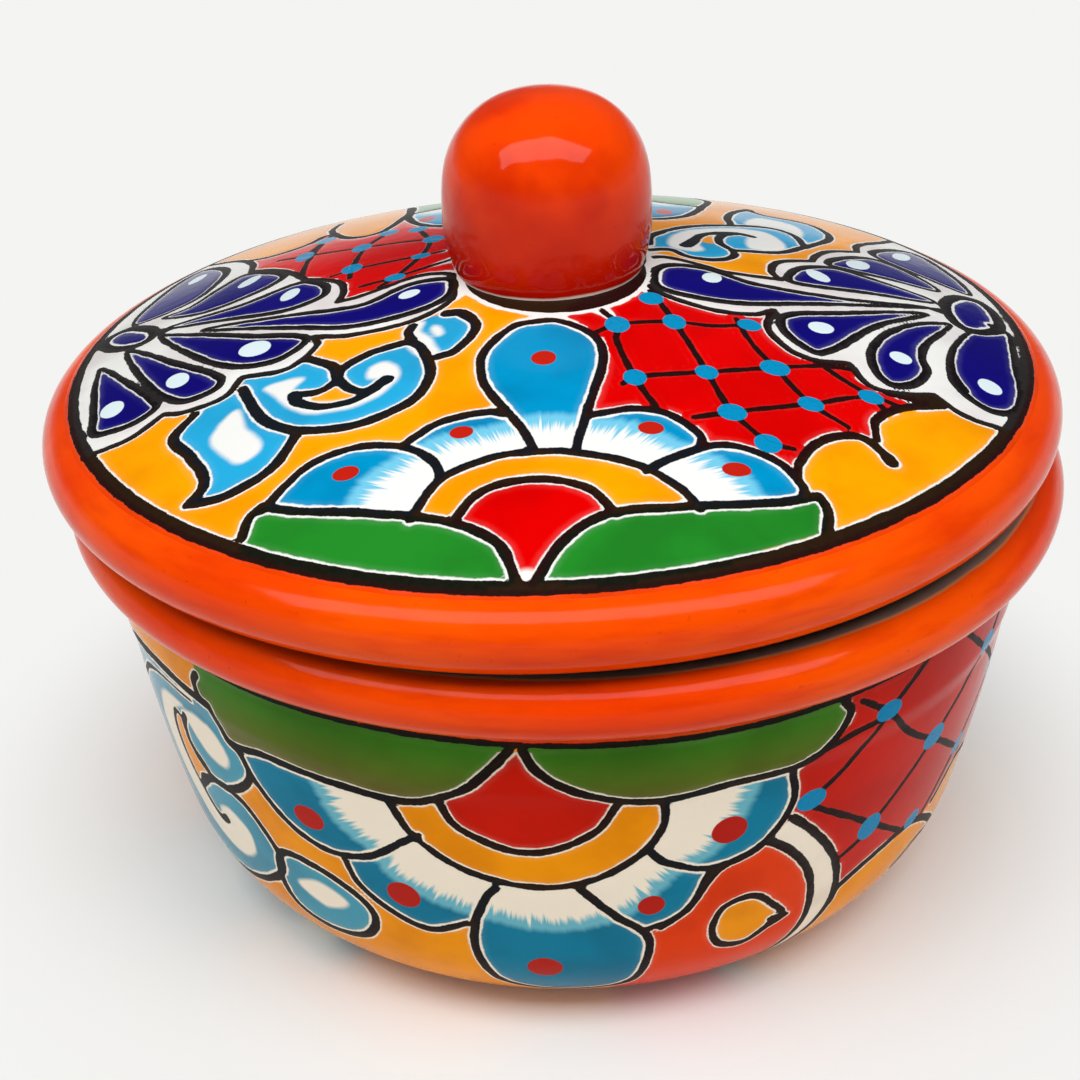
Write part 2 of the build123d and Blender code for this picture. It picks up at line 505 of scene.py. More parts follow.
for repeat in (0, wall_repeat):
    wall.shift = (repeat, 0)

    # Red lattice, and the scalloped yellow petals beside it
    wall.flood("brick", [(46, 2), (150, 2), (158, 16), (150, 34), (139, 50), (128, 58), (116, 55),
                         (105, 62), (100, 63.6), (88, 62), (74, 65.7), (66, 68), (62, 82), (44, 60),
                         (44, 16)])
    for lattice_line in (
        [(62.3, 6.8), (70.9, 13.6), (80.9, 25), (96.4, 36.4), (115.7, 51.4)],
        [(54.1, 34.3), (66.6, 43.6), (77.3, 52.1), (89.4, 61.4)],
        [(70.9, 13.2), (78.7, 7.1), (84, 3)],
        [(50, 17.5), (60.9, 15), (67.3, 14.6), (71, 13.5)],
        [(52.6, 31.4), (62, 24), (71, 13.5)],
        [(73.7, 50.4), (83, 42.1), (92.9, 33.2), (110, 18.6), (124, 4)],
        [(64.5, 56.5), (70.9, 53.4), (73.7, 50.4)],
        [(96, 4), (106, 13), (122, 26), (134, 38), (143, 45)],
        [(100, 62.5), (112, 48.5), (128, 33), (146, 14)],
    ):
        wall.line(1.7, lattice_line, over=True)
    for dab in ((70.9, 13.2, 3.8, 2.6), (52.6, 31.4, 3.9, 3.1), (73.7, 50.4, 3.8, 3.9),
                (92.9, 33.2, 4.4, 3.2), (94.3, 60.7, 3.4, 2.6), (112, 16.4, 4, 3), (128.5, 33, 4, 3.2),
                (113.5, 48.5, 3.8, 3)):
        wall.dot("blue", *dab)
    wall.line(2.4, [(66.5, 72), (68, 67.9), (80.9, 62.9), (94.3, 62.1), (105.7, 67.9), (117.1, 77.1),
                    (126.4, 84.3)])
    wall.line(2.4, [(105.7, 62.1), (115.7, 55), (128, 58), (135.7, 64.3), (138.6, 71.4), (135.7, 78.6)])
    wall.line(2.4, [(131, 58.5), (140, 49), (152, 50), (160, 60), (160, 72), (150, 82)])
    wall.line(2.4, [(146, 49), (150, 34), (158, 16), (152, 4)])
    wall.line((2.4, 1.6), [(158, 16), (168, 26), (171, 40), (164, 54), (158, 57)])
    wall.line((2.4, 1.6), [(160, 66), (170, 68), (175, 78), (170, 90), (158, 96), (146, 94)])
    wall.line((2.4, 1.6), [(94, 78), (104, 74), (113, 78), (117, 88), (112, 98)])

    # Orange petal with its white band and yellow almond
    wall.cell("lit_white", 2.3, [(48.4, 35), (56.6, 44.3), (63.7, 55.7), (66.6, 67.9), (63, 80), (54, 96),
                             (48, 106)],
              close=[(30, 106), (40, 70), (40, 42), (44, 38)])
    wall.cell("orange", 2.3, [(18.7, 62), (25, 56.5), (30.9, 45.7), (39.4, 42.1), (42.3, 40), (50.9, 47.9),
                              (56.9, 58.6), (58.7, 71.4), (56, 82), (48, 96), (42, 106)],
              close=[(12, 106), (8, 92), (12, 84), (15, 72), (14, 64)])
    wall.ring("yellow", 2.0, [(51, 69), (47, 63), (41, 57.7), (34, 59), (31.6, 65.7), (34, 72.4),
                              (41, 74.6), (47, 71)])
    wall.line((2.0, 1.4), [(47.5, 68.6), (52.2, 69.2)])

    # Ovals and scroll to the left, in light blue with white middles
    wall.cell("mist", 2.3, [(-150, 33), (-140, 24), (-129, 17.2), (-112, 14.5), (-96, 15), (-88.6, 15.7)],
              [(-88.6, 15.7), (-85.7, 24.3), (-82.5, 26), (-80.4, 32), (-84, 37.5), (-91.4, 42.9)],
              [(-91.4, 42.9), (-85.7, 45), (-79.6, 53), (-77.9, 60), (-83, 67.6), (-95.7, 75), (-110, 79)],
              [(-110, 79), (-105.8, 86.5), (-110, 95), (-121, 101.5), (-136, 103), (-150, 99), (-158, 90)],
              close=[(-162, 70), (-160, 50)])
    wall.ring("yellow", 1.6, [(-110, 28.8), (-106.6, 29.5), (-105.8, 36), (-99.5, 42.6), (-105.5, 47),
                              (-108.2, 51.2), (-112, 45), (-113, 36)])
    wall.line(2.3, [(-91.4, 42.9), (-99.5, 42.8), (-105.4, 37.8), (-106.4, 31.4), (-104.4, 27.2)])
    wall.line(2.3, [(-91.4, 42.9), (-100, 44.4), (-107.9, 51.4)])
    wall.line((2.0, 2.0, 3.0), [(-108.6, 51.4), (-104.5, 57), (-101, 58.4), (-98.9, 57)])
    wall.line((1.2, 2.0), [(-97, 18.2), (-112, 19), (-125, 24.4), (-133, 31), (-142, 38), (-150, 41)])
    wall.line((2.2, 2.4), [(-150, 33), (-158, 45), (-163, 62), (-163, 78), (-158, 90)])
    wall.line((1.6, 2.2, 3.0), [(-155, 84), (-147, 80), (-139, 83.6), (-134, 86.4)])
    wall.patch([(-104, 25.4), (-93, 24.4), (-88, 30), (-89.5, 34.6), (-96, 34.5), (-101, 30.5)])
    wall.patch([(-104, 24), (-115, 26), (-121, 34), (-123, 43), (-120, 54), (-112, 63), (-103, 67),
                (-95, 67), (-89, 62), (-89, 55), (-95, 51.6), (-100, 54), (-101, 58), (-107, 56),
                (-113, 47), (-114, 36), (-110, 28)])
    wall.patch([(-146, 87), (-136, 86), (-121, 87), (-128, 93.4), (-138, 95.6), (-145, 92)])
    wall.patch([(-150, 46), (-141, 43), (-134, 50), (-133, 62), (-140, 72), (-150, 72), (-156, 62)])
    wall.ring("mist", 2.3, [(-111, 99), (-100, 93), (-88, 90.6), (-77, 93), (-73, 101), (-84, 107.5),
                            (-100, 107)])
    wall.patch([(-100, 99), (-90, 96.5), (-82, 99), (-85, 103.4), (-95, 103.6)])
    wall.ring("mist", 2.3, [(-76.7, 55.3), (-66, 54.4), (-55, 59.2), (-51, 65.8), (-55, 74), (-66.7, 78),
                            (-76.4, 75), (-80, 66.7)])
    wall.patch([(-73.5, 64), (-66, 60.3), (-58.6, 64), (-66, 68.3)])

    # Half flower hanging from the rim
    for petal, petal_foot in (
        ([(-82.3, 24.7), (-78.7, 33.3), (-70, 42.7), (-60, 46.3), (-49.3, 44), (-40, 36.7), (-35.3, 33)],
         [(-14, 44), (-14, 20), (-80, 20)]),
        ([(-55.7, 47.3), (-53.3, 54.7), (-44.7, 62), (-36, 64.7), (-26.7, 60.3)],
         [(-14, 44), (-14, 24), (-34, 31), (-52, 42)]),
        ([(29.1, 45.7), (25.1, 56.4), (20.9, 60), (15.4, 62)], [(6, 54), (0, 44), (14, 34)]),
        ([(14.8, 35.7), (18.7, 40), (29.4, 44.3), (40.9, 40.7), (47.6, 30), (46.2, 19.3)],
         [(17, 20), (10, 36)]),
    ):
        wall.cell("shaded_teal", 2.0, petal, close=petal_foot)
    wall.cell("shaded_teal", 2.2, [(-19, 47), (-21.3, 50), (-24.7, 60), (-25.3, 70), (-20.7, 83.3), (-10, 90),
                           (2, 90.4), (12.3, 85), (16.2, 71), (15.1, 63.6), (8, 56.4), (-0.2, 46.4)])
    wall.cell("yellow", 2.0, [(-41, 24.7), (-36.7, 33.3), (-25.3, 42), (-11.3, 45.7), (0.9, 44.3),
                              (12.3, 37.1), (17.6, 28.6), (17.6, 20.7)], close=[(-12, 6)])
    wall.cell("brick", 2.0, [(-30, 20.7), (-26.7, 28), (-15.3, 34.3), (-6, 33.9), (3.7, 27.9), (8, 20)],
              close=[(-12.6, 6)])
    wall.cell("shaded_green", 2.2, [(-91.7, 8), (-93.3, 10.7), (-92, 14.4), (-88.7, 15.3)],
              [(-88.7, 15.3), (-85, 24.3), (-73.3, 22.7), (-53.3, 23), (-36, 23), (-24, 16.7), (-16.7, 8.7),
               (-14, 5)],
              close=[(-14, 3), (-92, 3)])
    wall.cell("shaded_green", 2.2, [(-11.3, 5), (-8.4, 10.7), (0.9, 16.8), (15.1, 20.7), (32.3, 18.9), (48.7, 18.6),
                            (55.9, 14.3), (59.4, 8.6), (57.4, 5)], close=[(50, 3), (-11.3, 3)])
    wall.feathered("shaded_teal", [(-58, 18), (-57, 25), (-53.3, 33.7), (-46, 39.5), (-42.5, 46), (-33, 51.5),
                           (-22, 54.5), (-9, 57.5), (2, 56.5), (9.5, 53.4), (15, 48), (19, 42.5),
                           (26.5, 38), (32, 31), (34, 18)],
                   (-11.5, 10))
    for dab in ((-63.6, 37.3, 4.2, 3.5), (-41.6, 54.2, 4.2, 4.1), (-9, 75, 4.4, 4), (16, 53.7, 3.2, 3.2),
                (32.7, 33.3, 4.2, 4)):
        wall.dot("red", *dab)

# The green leaves turn olive towards their lower edge: a painted warm reflection of the orange rim
olive_painted_reflection = tint(104, 108, 40)
turning_from = 7
turning_over = 13
leafy = (wall.colours["glaze"] == glazes["shaded_green"][0]).all(1)
lower = np.clip((wall.at[leafy, 1] - turning_from) / turning_over, 0, 1)[:, None]
wall.colours["glaze"][leafy] = (1 - lower) * glazes["shaded_green"][0] + lower * olive_painted_reflection

# Right under the rim a little of its orange shows, with an ink line below it and no white
strip_end = 5.6
strip_half = 352
strip_ink = [(x, 3.8 + 0.35 * sin(x / 19)) for x in range(-strip_half, strip_half + 1, 4)]
wall.shift = (0, 0)
wall.flood("orange", [(-360, -3), (360, -3), (360, 3), (-360, 3)])
wall.numbers["halo"][wall.at[:, 1] < strip_end] = no_white
wall.line(1.6, strip_ink)
wall.lay_on(bowl_wall)


def painted_glaze(name, white, painted_shade_tint, shine):
    """Raised black lines filled with pooled bright glazes over a white ground."""
    recipe = finish(name)
    ragged = recipe.noise(230) - 0.5
    grainy = recipe.noise(1300, 3) - 0.5
    ink = recipe.painted("ink") + ragged * 0.75 + grainy * 0.35
    halo = recipe.painted("halo") * (0.4 + recipe.noise(320, 1) * 1.2)

    # Glaze, thin at the edge of its field and deeper where the brush went twice
    pooled = (ink - halo).past(0.9, 1.0)
    brushed = recipe.noise(45, 3)
    glaze = recipe.painted_colour("glaze")
    thin = recipe.mix(0.035, glaze, (1, 1, 1, 1))
    deep = recipe.tinged(glaze, (0.8, 0.7, 0.74, 1))
    body = recipe.mix(pooled, thin, glaze)
    body = recipe.mix(brushed.past(0.53, 0.15) * 0.7, body, deep)

    # Petals that turn light blue and then white towards their foot, in streaks
    one_way = {"noise_dimensions": "1D"}
    along = recipe.painted("along")
    streaks = recipe.node("ShaderNodeTexNoise", one_way, {"W": along, "Scale": 0.6, "Detail": 3})
    wisps = recipe.node("ShaderNodeTexNoise", one_way, {"W": along + 70, "Scale": 1.3, "Detail": 2})
    reach = recipe.painted("feather") + 1.4
    past_blue = (reach + (streaks - 0.5) * 1.8).past(4.8, 1.3)
    body = recipe.mix(past_blue, tint(112, 196, 226), body)
    past_white = (reach + (streaks - 0.5) * 6.5 + (wisps - 0.5) * 5.0).past(1.0, 1.5)
    body = recipe.mix(past_white, white, body)

    # Patches of bare white, the white beside the ink, the ink, and the dabs over it
    pale = recipe.painted("pale") + ragged * 0.9
    body = recipe.mix(pale.past(0.3, 0.9), white, body)
    body = recipe.mix((ink - halo).past(0.05, 0.26), white, body)
    # Painted shade: the whole painting is multiplied by the tint passed in, warmer and darker on the wall,
    # plain on the lid
    body = recipe.tinged(body, painted_shade_tint)
    line = 1 - ink.past(0, 0.1)
    ink_tone = recipe.mix(recipe.noise(700, 3), tint(8, 5, 5), tint(30, 22, 20))
    body = recipe.mix(line, body, recipe.mix(0.015, ink_tone, glaze))
    spot = recipe.painted("spot") + ragged * 0.4
    dab = 1 - spot.past(0, 0.12)
    body = recipe.mix(dab, body, recipe.painted_colour("spot_glaze"))
    dulled = line * (1 - dab)
    roughness = 0.09 + dulled * 0.27 + recipe.noise(90) * 0.05
    relief = line * 0.55 + pooled * 0.25 + recipe.noise(260, 1) * 0.16 + grainy * dulled * 0.3
    return recipe.fire(body, roughness, relief, 0.00028, shine)


# The wall's painted warm shade: green and blue are lowered, standing in for the shade under the rim and the
# orange light thrown back from it
wall_painted_warm_shade = (1.04, 0.95, 0.82, 1)
wall_shine = 0.04
wall_glaze = painted_glaze("bowl_wall_glaze", glazes["lit_white"][0], wall_painted_warm_shade, wall_shine)
bowl_wall.data.materials.append(wall_glaze)
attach(bowl_wall, "bowl")
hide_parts("bowl")


# Bowl rim
# The bowl's edge, rolled thick with the fingers and glazed orange. Its crown, on which the lid
# rests, is left without orange glaze and shows grey-brown slip, painted paler than it is as painted
# light in the shade of the gap under the lid.
ring_steps = 720
section_steps = 64


def rolled_edge(name, middle, roll, material, lean=0.0, shift=0.0, wobble=0.0, seed=0):
    """A roll of clay that follows a ring. Geometry Nodes lay an oval section round a circle."""
    tree = bpy.data.node_groups.new(name + "_tree", "GeometryNodeTree")
    sizes = {
        "Ring Radius": middle.real * MM,
        "Ring Height": middle.imag * MM,
        "Roll Width": roll[0] * MM,
        "Roll Height": roll[1] * MM,
        "Lean": lean,
        "Shift": shift * MM,
        "Wobble": wobble * MM,
        "Seed": float(seed),
    }
    tree.interface.new_socket("Geometry", in_out="OUTPUT", socket_type="NodeSocketGeometry")
    sockets = {}
    for key in sizes:
        sockets[key] = tree.interface.new_socket(key, in_out="INPUT", socket_type="NodeSocketFloat")
    clay = Recipe(tree)
    group = tree.nodes.new("NodeGroupInput")
    size = {key: Amount(clay, group.outputs[key]) for key in sizes}
    ring_values = {"Resolution": ring_steps, "Radius": size["Ring Radius"]}
    ring = clay.node("GeometryNodeCurvePrimitiveCircle", {}, ring_values)
    ring = clay.node("GeometryNodeSetCurveNormal", {"mode": "Z_UP"}, {"Curve": ring})
    section_values = {"Resolution": section_steps, "Radius": 0.5}
    section = clay.node("GeometryNodeCurvePrimitiveCircle", {}, section_values)
    flat = clay.node("ShaderNodeCombineXYZ", {}, {0: size["Roll Width"], 1: size["Roll Height"], 2: 1.0})
    section = clay.node("GeometryNodeTransform", {}, {"Geometry": section, "Scale": flat})
    clay_roll = clay.node("GeometryNodeCurveToMesh", {}, {"Curve": ring, "Profile Curve": section})
    uneven_values = {"Scale": 14.0, "Detail": 1.0, "W": size["Seed"]}
    uneven = clay.node("ShaderNodeTexNoise", {"noise_dimensions": "4D"}, uneven_values)
    swell = (uneven - 0.5) * 2 * size["Wobble"]
    outward = clay.node("GeometryNodeInputNormal")
    push = clay.node("ShaderNodeVectorMath", {"operation": "SCALE"}, {0: outward, "Scale": swell})
    clay_roll = clay.node("GeometryNodeSetPosition", {}, {"Geometry": clay_roll, "Offset": push})
    turn = clay.node("ShaderNodeCombineXYZ", {}, {1: size["Lean"]})
    move = clay.node("ShaderNodeCombineXYZ", {}, {0: size["Shift"], 2: size["Ring Height"]})
    seating = {"Geometry": clay_roll, "Translation": move, "Rotation": turn}
    clay_roll = clay.node("GeometryNodeTransform", {}, seating)
    clay_roll = clay.node("GeometryNodeSetShadeSmooth", {}, {"Geometry": clay_roll})
    clay_roll = clay.node("GeometryNodeRealizeInstances", {}, {"Geometry": clay_roll})
    clay_roll = clay.node("GeometryNodeSetMaterial", {}, {"Geometry": clay_roll, "Material": material})
    clay.node("NodeGroupOutput", {}, {"Geometry": clay_roll})
    holder = bpy.data.objects.new(name + "_holder", bpy.data.meshes.new(name + "_holder"))
    bpy.context.collection.objects.link(holder)
    modifier = holder.modifiers.new("rolled_edge", "NODES")
    modifier.node_group = tree
    for key, value in sizes.items():
        modifier[sockets[key].identifier] = value
    formed = holder.evaluated_get(bpy.context.evaluated_depsgraph_get())
    piece = bpy.data.objects.new(name, bpy.data.meshes.new_from_object(formed))
    piece.data.name = name
    bpy.data.objects.remove(holder)
    bpy.context.collection.objects.link(piece)
    return piece


def mesh_places(piece):
    """The places of a piece's points, in mm."""
    flat = np.zeros(len(piece.data.vertices) * 3, np.float32)
    piece.data.vertices.foreach_get("co", flat)
    return flat.reshape(-1, 3) / MM


def orange_glaze(name):
    """Thick orange glaze with faint brush streaks, which thins out to bare slip at the seat."""
    recipe = finish(name)
    patches = recipe.noise(16, 3)
    streaks = recipe.noise(60, 3, recipe.stretched((1, 1, 6)))
    body = recipe.mix(patches.past(0.5, 0.2), tint(250, 84, 0), tint(238, 62, 0))
    body = recipe.mix(streaks.past(0.6, 0.2) * 0.5, body, tint(214, 44, 0))
    body = recipe.mix(recipe.noise(500, 2).past(0.74, 0.06) * 0.25, body, tint(150, 34, 8))
    roughness = 0.1 + recipe.noise(70) * 0.06
    relief = recipe.noise(110, 2) * 0.5 + streaks * 0.2
    bare = recipe.painted("bare") + (recipe.noise(60) - 0.5) * 1.2
    # The bare slip is painted paler than its real grey-brown: painted light in the shade of the gap under
    # the lid
    slip = recipe.mix(recipe.noise(300, 3), tint(120, 100, 90), tint(146, 126, 114))
    body = recipe.mix(bare.past(0, 0.15), tint(206, 128, 84), body)
    glazed = bare.past(-0.7, 0.15)
    body = recipe.mix(glazed, slip, body)
    roughness = roughness + (1 - glazed) * 0.4
    return recipe.fire(body, roughness, relief, 0.00028, 0.11)


bowl_height = 112.0
rim_radius = 124.2
rim_roll = (15.0, 14.3)
rim_middle = rim_radius - rim_roll[0] / 2 + 1j * (bowl_height - rim_roll[1] / 2)
rim_glaze = orange_glaze("bowl_rim_glaze")
bowl_rim = rolled_edge("bowl_rim", rim_middle, rim_roll, rim_glaze, wobble=0.15, seed=3)
rim_places = mesh_places(bowl_rim)
rim_out = np.hypot(rim_places[:, 0], rim_places[:, 1]) - rim_middle.real
rim_up = rim_places[:, 2] - rim_middle.imag
crown_start = radians(76)
crown_end = radians(150)
off_crown = np.abs(np.arctan2(rim_up, rim_out) - (crown_start + crown_end) / 2)
mark(bowl_rim, "bare", (off_crown - (crown_end - crown_start) / 2) * rim_roll[0] / 2)
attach(bowl_rim, "bowl")
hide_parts("bowl")


# Bowl inside and foot
# The inside is brown earthenware under a clear glaze, from the throat of the rim to the rounded
# floor. The foot is the same clay, bare, with the marks of the wheel.
def wheel_marks(recipe, scale, distortion):
    """Fine rings that the wheel left in the clay."""
    settings = {"wave_type": "RINGS", "rings_direction": "Z"}
    values = {"Vector": recipe.place(), "Scale": scale, "Distortion": distortion}
    return recipe.node("ShaderNodeTexWave", settings, {**values, "Detail": 2.0, "Detail Scale": 1.5})


def brown_clay(name, glazed):
    """Earthenware, smooth under a clear glaze or rough and bare."""
    recipe = finish(name)
    clay_tone = recipe.mix(recipe.noise(28, 4), tint(112, 58, 34), tint(142, 78, 48))
    clay_tone = recipe.mix(recipe.noise(900, 2).past(0.66, 0.06) * 0.6, clay_tone, tint(84, 44, 28))
    rings = wheel_marks(recipe, 95.0, 1.2)
    clay_tone = recipe.mix(rings * 0.12, clay_tone, tint(160, 94, 62))
    roughness = (0.14 if glazed else 0.68) + recipe.noise(60) * 0.1
    relief = rings * 0.4 + recipe.noise(600, 3) * (0.15 if glazed else 0.6)
    return recipe.fire(clay_tone, roughness, relief, 0.00025)


throat = 110.2 + 103.5j
throat_end = 109.2 + 101j
well_top = 107.0 + 76j
well_heel = 96.15 + 9j
well_floor = 9j
heel_round = 34.0
inner_step = 3
inner_spokes = 256
heel_lean = (well_top - well_heel) / abs(well_top - well_heel)
heel_back = heel_round * tan(phase(heel_lean) / 2)
heel_in = well_heel + heel_lean * heel_back
heel_out = well_heel - heel_back
well_side = even(np.array([well_top, heel_in]), inner_step)
well_bend = bend(heel_in, heel_out, -heel_lean, 26)[0]
well_flat = even(np.array([heel_out, well_floor]), inner_step)
well_line = np.concatenate([[throat, throat_end], well_side, well_bend[1:], well_flat[1:]])
bowl_inside = turned("bowl_inside", well_line, inner_spokes)[0]
bowl_inside.data.materials.append(brown_clay("bowl_inside_clay", True))
foot_line = even(np.array([0j, foot_inside]), inner_step)
bowl_foot = turned("bowl_foot", foot_line, wall_spokes)[0]
bowl_foot.data.materials.append(brown_clay("bowl_foot_clay", False))
for piece in (bowl_inside, bowl_foot):
    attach(piece, "bowl")
    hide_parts("bowl")


# Lid dome
# The domed top of the lid, painted like the bowl: a half flower in front and another behind,
# two cobalt fans at the sides, scrolls, dotted red lattices and scalloped petals on yellow, all
# inside a broad black ring. The lid lies a little to the left and leans on that side.
lid_shift = 3.4
lid_lean = radians(0.92)
lid_height = 122.44
dome_edge = 117.66 + 8.82j
dome_rise = 25.33
dome_power = 1.73
dome_lip = 118.7 + 8.1j
dome_hole = 19.0
dome_rows = 117
dome_spokes = 820


def seat_lid(places):
    """Moves places from the lid's own frame to where it lies on the bowl."""
    x, y, z = places.T
    aside = x * cos(lid_lean) - z * sin(lid_lean) - lid_shift
    upward = x * sin(lid_lean) + z * cos(lid_lean) + lid_height
    return np.stack([aside, y, upward], 1)


def dome_height(out):
    """The dome's height over the middle of its rolled edge, so far out from the axis."""
    return dome_edge.imag + dome_rise * (1 - (out / dome_edge.real) ** dome_power)


dome_out = np.linspace(dome_edge.real, dome_hole, dome_rows)
dome_line = np.concatenate([[dome_lip], dome_out + 1j * dome_height(dome_out)])
lid_dome, dome_places = turned("lid_dome", dome_line, dome_spokes, seat=seat_lid)
lid = Panel(dome_places[:, 0], dome_places[:, 1])

# Red lattices
lid.flood("red", [(4.2, -38), (4.2, -30), (20, -10), (40, -24), (54, -24), (56, -38), (66, -43), (72, -51),
                  (76, -52), (84, -52.4), (84, -54.4), (77.6, -57.1), (70.4, -63.5), (69.4, -70.3),
                  (65.4, -70.1), (56.9, -73.5), (51.1, -81.7), (50.4, -88), (30, -86), (8, -70)])
lid.flood("red", [(-16, -8), (-40, -8), (-52, -10), (-50, 2), (-60, 11), (-70, 30), (-79, 38), (-84, 54),
                  (-80.5, 50), (-74.7, 46.7), (-68, 46.7), (-63, 50), (-59.7, 56.7), (-57.5, 70),
                  (-56.3, 53.3), (-53, 45.8), (-47.2, 40.8), (-42.2, 43.3), (-38.8, 51.7), (-36.5, 60),
                  (-34, 47), (-24, 34), (-10, 20)])
for lattice_line in (
    [(11.9, -29.2), (15.9, -36.5), (15.4, -43), (18.6, -56.8), (22.6, -67)],
    [(24.4, -20.3), (29, -34.2), (34.6, -53.6), (38.8, -67), (45.4, -76)],
    [(43.6, -30.3), (45.4, -38.9), (50.1, -49.4), (56.5, -61.2), (63.6, -67.4)],
    [(11.1, -39.6), (15.9, -36.5), (29, -34.2), (37.6, -34.7), (46.3, -32.4)],
    [(15.8, -59.2), (18.6, -56.8), (34.6, -53.6), (50.1, -49.4), (61, -46), (67, -45.4)],
    [(30.4, -69.6), (38.8, -67), (56.5, -61.2), (70.7, -55.1), (77.6, -57)],
    [(60, -44.5), (65, -50), (70.7, -55.1), (73, -59)],
    [(45.4, -76.1), (50.8, -77.1)],
    [(-58.8, 46.7), (-60.5, 32.5), (-61.3, 21.7), (-61, 14)],
    [(-40.5, 39.2), (-45.5, 27.5), (-48, 10), (-48, 3)],
    [(-32.6, 36.7), (-28.8, 20), (-30.5, 9.2), (-36.3, -3), (-40, -7)],
    [(-70, 37), (-62.6, 33.3), (-46.8, 27.5), (-28, 22.5), (-22, 21)],
    [(-53, 7.6), (-48, 9), (-30.5, 9.2), (-25, 10)],
    [(-44.7, -4.2), (-36.3, -2.9), (-23, 2.5)],
    [(-62.6, 33.3), (-58.4, 48.3), (-57.6, 56)],
):
    lid.line(1.55, lattice_line, over=True)
for dab in ((15.9, -36.5, 2.9, 3.4), (29, -34.2, 2.7, 3.2), (46.3, -32.4, 2.8, 2.6), (24.4, -24, 2.9, 3),
            (18.6, -56.8, 2.6, 2.8), (34.6, -53.6, 2.6, 2.6), (50.1, -49.4, 3.4, 3), (38.8, -67, 3.2, 2.8),
            (56.5, -61.2, 2.9, 2.6), (70.7, -55.1, 2.9, 2.6), (45.4, -76.1, 3, 2.9), (-58.4, 48.3, 2.7, 4),
            (-62.6, 33.3, 2.5, 4.5), (-46.8, 27.5, 2.7, 3.7), (-28, 22.5, 2.8, 3.4), (-48, 10, 2.8, 3.3),
            (-30.5, 9.2, 2.5, 2), (-36.3, -2.9, 2.6, 2.2), (-40.5, 39.2, 2.6, 3.4),
            (-32.6, 36.7, 2.6, 3.4)):
    lid.dot("blue", *dab)

# Scalloped yellow petals
for lobe in (
    [(50.4, -87), (51.1, -81.7), (56.9, -73.5), (65.4, -70.1), (70.1, -74.2), (71.5, -77.1)],
    [(69.4, -70.3), (70.4, -63.5), (77.6, -57.1), (87, -53)],
    [(-82, 52), (-74.7, 46.7), (-68, 46.7), (-63, 50), (-59.7, 56.7)],
    [(-57.6, 81.7), (-58.4, 63.3), (-53, 45.8), (-47.2, 40.8), (-42.2, 43.3), (-37.6, 61.7), (-36.8, 71.7),
     (-38, 90)],
):
    lid.line((1.8, 2.4, 2.6), lobe)
lid.line(3.4, [(70.9, -75.6), (71.5, -77)])
lid.line((1.4, 2.4), [(74.5, -53), (80.5, -53), (85.5, -51.4)])

# Scroll and leaf at the front left, and at the back right
lid.cell("light", 2.7, [(-80.2, -47.3), (-84.1, -54.5), (-79.6, -62), (-74.9, -71.4), (-74.9, -75.5),
                        (-77.5, -79)],
         [(-77.5, -79), (-69.6, -79.4), (-59.6, -73.8), (-54.9, -64.4)],
         close=[(-62.6, -57.3), (-68, -44), (-74, -42), (-80, -43)])
lid.patch([(-70, -50.3), (-73.6, -55), (-74.3, -60.5), (-70, -67), (-67, -69.8), (-63.4, -67.6),
           (-63.2, -64), (-67, -58.5)])
lid.cell("light", 2.6, [(-69.4, -42), (-67.3, -47.9), (-62.6, -57.3), (-54.4, -63.5), (-42, -65.2),
                        (-30.2, -60.2), (-26.2, -51.4), (-28.5, -40.8), (-31.1, -37.3)],
         [(-31.1, -37.3), (-40.2, -39.4), (-46.4, -43.8), (-47, -47.3)],
         [(-47, -47.3), (-48.5, -42), (-51.4, -39.1), (-54.8, -36.2)], close=[(-62, -37), (-70, -36)])
lid.flood("yellow", smooth([(-53.4, -51.4), (-48.6, -50), (-44.6, -52.4), (-42, -54.6), (-47, -56.2),
                            (-51.6, -55.4)], True))
lid.line((2.6, 2.2, 3.4), [(-47, -47.3), (-45.5, -50.2), (-43.2, -52.9), (-40.2, -54.1), (-35.9, -51.2)])
lid.line((3.0, 2.2, 2.6), [(-56.9, -49.8), (-56.1, -52.6), (-50.8, -56.4), (-46.7, -57), (-42.6, -56.4),
                           (-38, -53.4)])
lid.line(2.4, [(-47, -47.3), (-48.2, -49.1), (-51.4, -50.8), (-56.9, -49.9)])
lid.patch([(-63.8, -44.3), (-55.3, -44), (-57.4, -48.5), (-52, -54.5), (-42, -55.5), (-37.5, -50),
           (-40, -49.3), (-39.8, -45.8), (-36.8, -44.2), (-34, -46.5), (-33.4, -50.5), (-36, -55),
           (-41, -58.2), (-47, -59), (-53.5, -57.6), (-58, -53.3), (-60.8, -49)])
lid.cell("light", (3.4, 2.4, 2.4), [(-22.9, -27.3), (-19.6, -27.9), (-16.1, -34.9), (-20.8, -43.8),
                                    (-24.8, -45.4)],
         close=[(-28, -41), (-31, -36.7), (-31.4, -31), (-27, -28)])
lid.line(2.4, [(-30.8, -30.8), (-31.6, -33.8), (-30.6, -37)])
lid.patch([(-32, -30), (-28.4, -30), (-29, -33.5), (-26.4, -38), (-24.8, -44.4), (-28.5, -44), (-32, -38)])
lid.patch([(-26, -32.2), (-24.5, -32.8), (-23.7, -36), (-24.9, -36.6), (-26.2, -34)])

